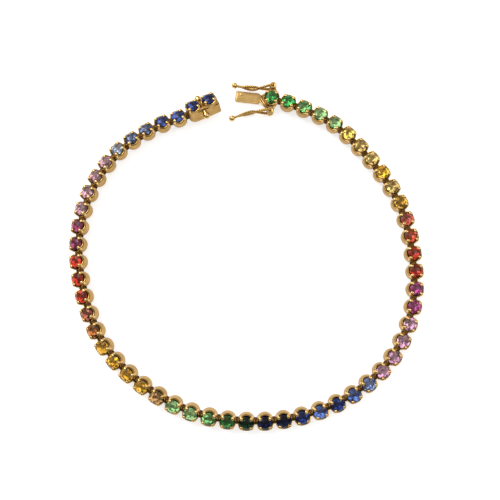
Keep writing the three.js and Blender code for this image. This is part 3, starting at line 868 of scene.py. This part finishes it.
tongue, tongue_gem = Piece(), Piece()
add_tongue(tongue)
add_stone(tongue_gem, head, colour_of[0])
finish_piece(tongue.build("tongue"), "bracelet", "gold_clasp", "clasp_tongue")
finish_piece(tongue_gem.build("tongue_gem"), "bracelet", "green_stone", "tongue_stone")


# The safety levers
def bow_at(along):
    return LEVER_BOW * math.sin(math.pi * along / LEVER_LENGTH)


def lever_strand(up, lean):
    far = LEVER_FAR_END - LEVER_CROSSING
    stations = [(along * LEVER_CROSSING, height) for along, height in NEAR_LOOP]
    stations += [(LEVER_CROSSING + along * far, height) for along, height in FAR_LOOP]
    points = []
    for along, height in stations:
        z = up * height * LEVER_HALF
        aside = up * LEVER_WIRE_R * STRAND_SPREAD
        if along > LEVER_CROSSING:
            aside += z * math.tan(math.radians(lean))
        points.append((-along, bow_at(along) + aside, z))
    return smooth_line(points, 150)


def add_lever(piece, side, swing, lean):
    """One lever: two strands of two thin wires, two eyes on its hinge, a stem and a ball."""
    f = head @ shifted(0, side * HINGE_OFFSET, -LEVER_DEPTH) @ turned_about("Z", -side * swing)
    if side > 0:
        f = f @ turned_about("X", 180)
    for up in (1, -1):
        strand = lever_strand(up, lean)
        for thin_wire in twisted(strand, THIN_WIRE_R, THIN_WIRE_OFFSET, THIN_WIRE_LAY, 12):
            piece.add(thin_wire, f, mat=WIRE_I)
        around = 2 * math.pi * np.arange(28) / 28
        eye = np.c_[LEVER_EYE_R * np.cos(around), LEVER_EYE_R * np.sin(around),
                    np.full(28, LEVER_EYE_RISE * up)]
        eye = tube(eye, LEVER_EYE_WIRE_R, side_hint=(0, 0, 1), closed=True)
        piece.add(eye, f, mat=POLISH_I)
    stem = [(-along, bow_at(along), 0) for along in (LEVER_FAR_END - 0.25, LEVER_FAR_END + 0.4)]
    stem = smooth_line(stem + [(-LEVER_LENGTH, 0, 0)], len(STEM_RADII))
    piece.add(tube(stem, STEM_RADII, 14), f, mat=POLISH_I)
    piece.add(ball(LEVER_BALL_R, 36, 20), f @ shifted(-LEVER_LENGTH, 0, 0), mat=POLISH_I)


for lever in LEVERS:
    lever_piece = Piece()
    add_lever(lever_piece, lever["side"], lever["swing"], lever["lean"])
    finish_piece(lever_piece.build("lever_" + lever["name"] + "_wire"), "lever_" + lever["name"],
                 "gold_levers", "safety_lever_" + lever["name"])


# The clasp box: a trough with a slot, a deck with two collets, and two studs
STONE_SPOTS = [-PITCH / 2, PITCH / 2]


def box_outline(distance):
    """The box's plan, moved inwards: a round end to the chain, and a square one with the slot."""
    half = BOX_HALF_WIDTH - distance
    arc = np.radians(np.linspace(90, 270, 33))
    left = np.c_[STONE_SPOTS[0] + half * np.cos(arc), half * np.sin(arc)]
    end = BOX_END - distance
    edge = rounded([(end, -half), (end, half)] + [(STONE_SPOTS[0], half), (STONE_SPOTS[0], -half)],
                   [0.16, 0.16, 0.01, 0.01])
    return np.vstack([edge[:12], left])


# A stud from its root to its round end: radius and distance
STUD_PROFILE = [
    (0.38, -0.25), (0.38, 0.0), (0.4, 0.15), (0.45, 0.32), (0.53, 0.52), (0.59, 0.72),
    (0.61, 0.92), (0.58, 1.1), (0.51, 1.26), (0.39, 1.39), (0.23, 1.47), (0.08, 1.5),
]


def cut_out(obj, cutter):
    """Cuts one mesh out of another and deletes it."""
    cut = obj.modifiers.new("cut", "BOOLEAN")
    cut.operation = "DIFFERENCE"
    cut.solver = "EXACT"
    cut.object = cutter
    graph = bpy.context.evaluated_depsgraph_get()
    result = bpy.data.meshes.new_from_object(obj.evaluated_get(graph))
    obj.modifiers.clear()
    obj.data = result
    bpy.data.objects.remove(cutter)


def box_loft(rows):
    """A solid of the box's plan, through rows of how far it is moved inwards and the height."""
    return loft([box_outline(distance) for distance, _ in rows], [z for _, z in rows])


body = Piece()
corner = np.radians(np.linspace(0, 90, 9))
rows = [(BOX_CORNER_R * (1 - math.sin(a)), -BOX_DEPTH + BOX_CORNER_R * (1 - math.cos(a)))
        for a in corner]
rows += [(0.0, -BOX_BULGE_DEPTH), (0.0, -SEAM_DEPTH - 0.16),
         (0.02, -SEAM_DEPTH - 0.17), (0.07, -SEAM_DEPTH - 0.15)]
body.add(box_loft(rows), box, mat=SATIN_I)
box_body = body.build("box_body")
slot_length = BOX_END - SLOT_END + 1
slot_half = PLATE_HALF + SLOT_GAP
slot_low = -PLATE_TOP - 2 * LEAF - SPREAD - SLOT_GAP
slot_high = -PLATE_TOP + SLOT_GAP - SLOT_ROOF_DROP
slot = Piece()
slot_outline = np.array([(SLOT_END, -slot_half), (SLOT_END + slot_length, -slot_half),
                         (SLOT_END + slot_length, slot_half), (SLOT_END, slot_half)])
# The slot's cut faces take gold_shade from the cutter, painted shade inside the slot
slot.add(loft([slot_outline, slot_outline], [slot_low, slot_high]), box, mat=SHADE_I)
cut_out(box_body, slot.build("slot_cutter"))
finish_piece(box_body, "bracelet", "gold_clasp", "clasp_box")

settings, box_gems = Piece(), [Piece(), Piece()]
# A dark band of gold_shade in the seam, painted shade
seam_rows = [(0.14, -SEAM_DEPTH - 0.2), (0.14, -SEAM_DEPTH + 0.02)]
settings.add(box_loft(seam_rows), box, mat=SHADE_I)
deck_rows = [(0.07, -SEAM_DEPTH), (0.04, -SEAM_DEPTH + 0.03), (0.03, -SEAM_DEPTH + 0.07),
             (0.05, -DECK_DEPTH - 0.08), (0.09, -DECK_DEPTH - 0.02), (0.15, -DECK_DEPTH),
             (0.3, -DECK_DEPTH), (0.34, -DECK_DEPTH - 0.04), (0.36, -DECK_DEPTH - 0.22)]
deck = box_loft(deck_rows)
deck_mats = np.full(len(deck[1]), SATIN_I)
deck_sides = len(deck[0]) // len(deck_rows)
deck_mats[:2 * deck_sides] = POLISH_I
deck_mats[3 * deck_sides:5 * deck_sides] = POLISH_I
# The sunken middle of the deck is darker, reddish gold: painted shade with a painted reddish reflection
deck_mats[6 * deck_sides:] = DECK_RECESS_SHADE_I
settings.add(deck, box, mat=deck_mats)
COLLET, COLLET_MATS = cup_shape(COLLET_DEPTH)
for index, spot in enumerate(STONE_SPOTS):
    f = box @ shifted(spot, 0, 0)
    add_setting(settings, f, COLLET, COLLET_MATS)
    add_stone(box_gems[index], f, colour_of[LINKS + 1 + index])
    for facing in (90, 270):
        spread = np.radians(facing + np.linspace(-LIP_HALF_ANGLE, LIP_HALF_ANGLE, 21))
        sag = -0.12 - 0.16 * np.cos(np.linspace(-math.pi / 2, math.pi / 2, 21))
        lip = np.c_[LIP_R * np.cos(spread), LIP_R * np.sin(spread), sag]
        settings.add(tube(lip, LIP_WIRE_R, side_hint=(0, 0, 1)), f, mat=POLISH_I)
for stud in STUDS:
    root = shifted(0, stud["side"] * (BOX_HALF_WIDTH - STUD_SET_IN), -STUD_DEPTH + stud["rise"])
    f = box @ root @ turned_about("X", -stud["side"] * stud["tilt"])
    settings.add(turned(STUD_PROFILE, 32), f, mat=POLISH_I)
finish_piece(settings.build("box_settings"), "bracelet", "gold_clasp")
for piece, name in zip(box_gems, ("chain_end", "open_end")):
    finish_piece(piece.build("box_gem_" + name), "bracelet", "blue_stone", "box_stone_" + name)


# Camera, at the photograph's angle to the bracelet as it lies
CAMERA_HEIGHT_ANGLE = 79.0
FOCAL_PX = 710.0
FRAME_PX = 500.0
CAMERA_DISTANCE = 127.495
SENSOR = 36.0
angle = math.radians(CAMERA_HEIGHT_ANGLE)
camera_data = bpy.data.cameras.new("camera")
camera_data.sensor_width = SENSOR
camera_data.sensor_fit = "HORIZONTAL"
camera_data.lens = SENSOR * FOCAL_PX / FRAME_PX
camera_data.clip_start = 0.01
camera = bpy.data.objects.new("camera", camera_data)
camera.location = (SHIFT[0] * MM, (SHIFT[1] - CAMERA_DISTANCE * math.cos(angle)) * MM,
                   CAMERA_DISTANCE * math.sin(angle) * MM)
camera.rotation_euler = (math.pi / 2 - angle, 0, 0)
bpy.context.scene.collection.objects.link(camera)
bpy.context.scene.camera = camera

# A plain pale floor
floor_mesh = bpy.data.meshes.new("floor")
span = 3.0
floor_mesh.from_pydata([(-span, -span, 0), (span, -span, 0), (span, span, 0), (-span, span, 0)],
                       [], [(0, 1, 2, 3)])
floor = bpy.data.objects.new("floor", floor_mesh)
floor.location = (0, 0, -0.00002)
floor_mat, floor_tree, floor_shader = new_material("floor")
floor_shader.inputs["Base Color"].default_value = (0.6, 0.6, 0.6, 1)
floor_shader.inputs["Roughness"].default_value = 0.9
floor_shader.inputs["Specular IOR Level"].default_value = 0.0
floor_shader.inputs["Emission Color"].default_value = (1, 1, 1, 1)
floor_shader.inputs["Emission Strength"].default_value = 0.66
floor_mesh.materials.append(floor_mat)
bpy.context.scene.collection.objects.link(floor)

# Soft studio light
world = bpy.data.worlds.new("studio")
world.use_nodes = True
sky = world.node_tree
place = node(sky, "ShaderNodeTexCoord")
height = node(sky, "ShaderNodeSeparateXYZ")
sky.links.new(place.outputs["Generated"], height.inputs["Vector"])
back = node(sky, "ShaderNodeMath", operation="MULTIPLY_ADD")
back.inputs[1].default_value = 0.3
sky.links.new(height.outputs["Y"], back.inputs[0])
sky.links.new(height.outputs["Z"], back.inputs[2])
shade = node(sky, "ShaderNodeValToRGB")
shade.color_ramp.elements[0].position = 0.05
shade.color_ramp.elements[0].color = (0.08, 0.08, 0.08, 1)
shade.color_ramp.elements[1].position = 0.9
shade.color_ramp.elements[1].color = (0.8, 0.8, 0.8, 1)
middle = shade.color_ramp.elements.new(0.55)
middle.color = (0.4, 0.4, 0.4, 1)
sky.links.new(back.outputs["Value"], shade.inputs["Fac"])
sky.links.new(shade.outputs["Color"], sky.nodes["Background"].inputs["Color"])
sky.nodes["Background"].inputs["Strength"].default_value = 1.0
bpy.context.scene.world = world
bpy.context.scene.view_settings.view_transform = "Standard"


def softbox(name, place, size, power):
    """A round lamp at a place, turned towards the bracelet."""
    data = bpy.data.lights.new(name, "AREA")
    data.shape = "DISK"
    data.size = size
    data.energy = power
    light = bpy.data.objects.new(name, data)
    z = unit(np.array(place))
    x = unit(np.cross([0, 1, 0.2], place))
    turn4 = np.eye(4)
    turn4[:3, 0], turn4[:3, 1], turn4[:3, 2], turn4[:3, 3] = x, np.cross(z, x), z, place
    light.matrix_world = Matrix(turn4.tolist())
    bpy.context.scene.collection.objects.link(light)


softbox("key", (-0.26, 0.24, 0.3), 0.34, 1.3)
softbox("fill", (0.3, 0.06, 0.3), 0.2, 0.35)
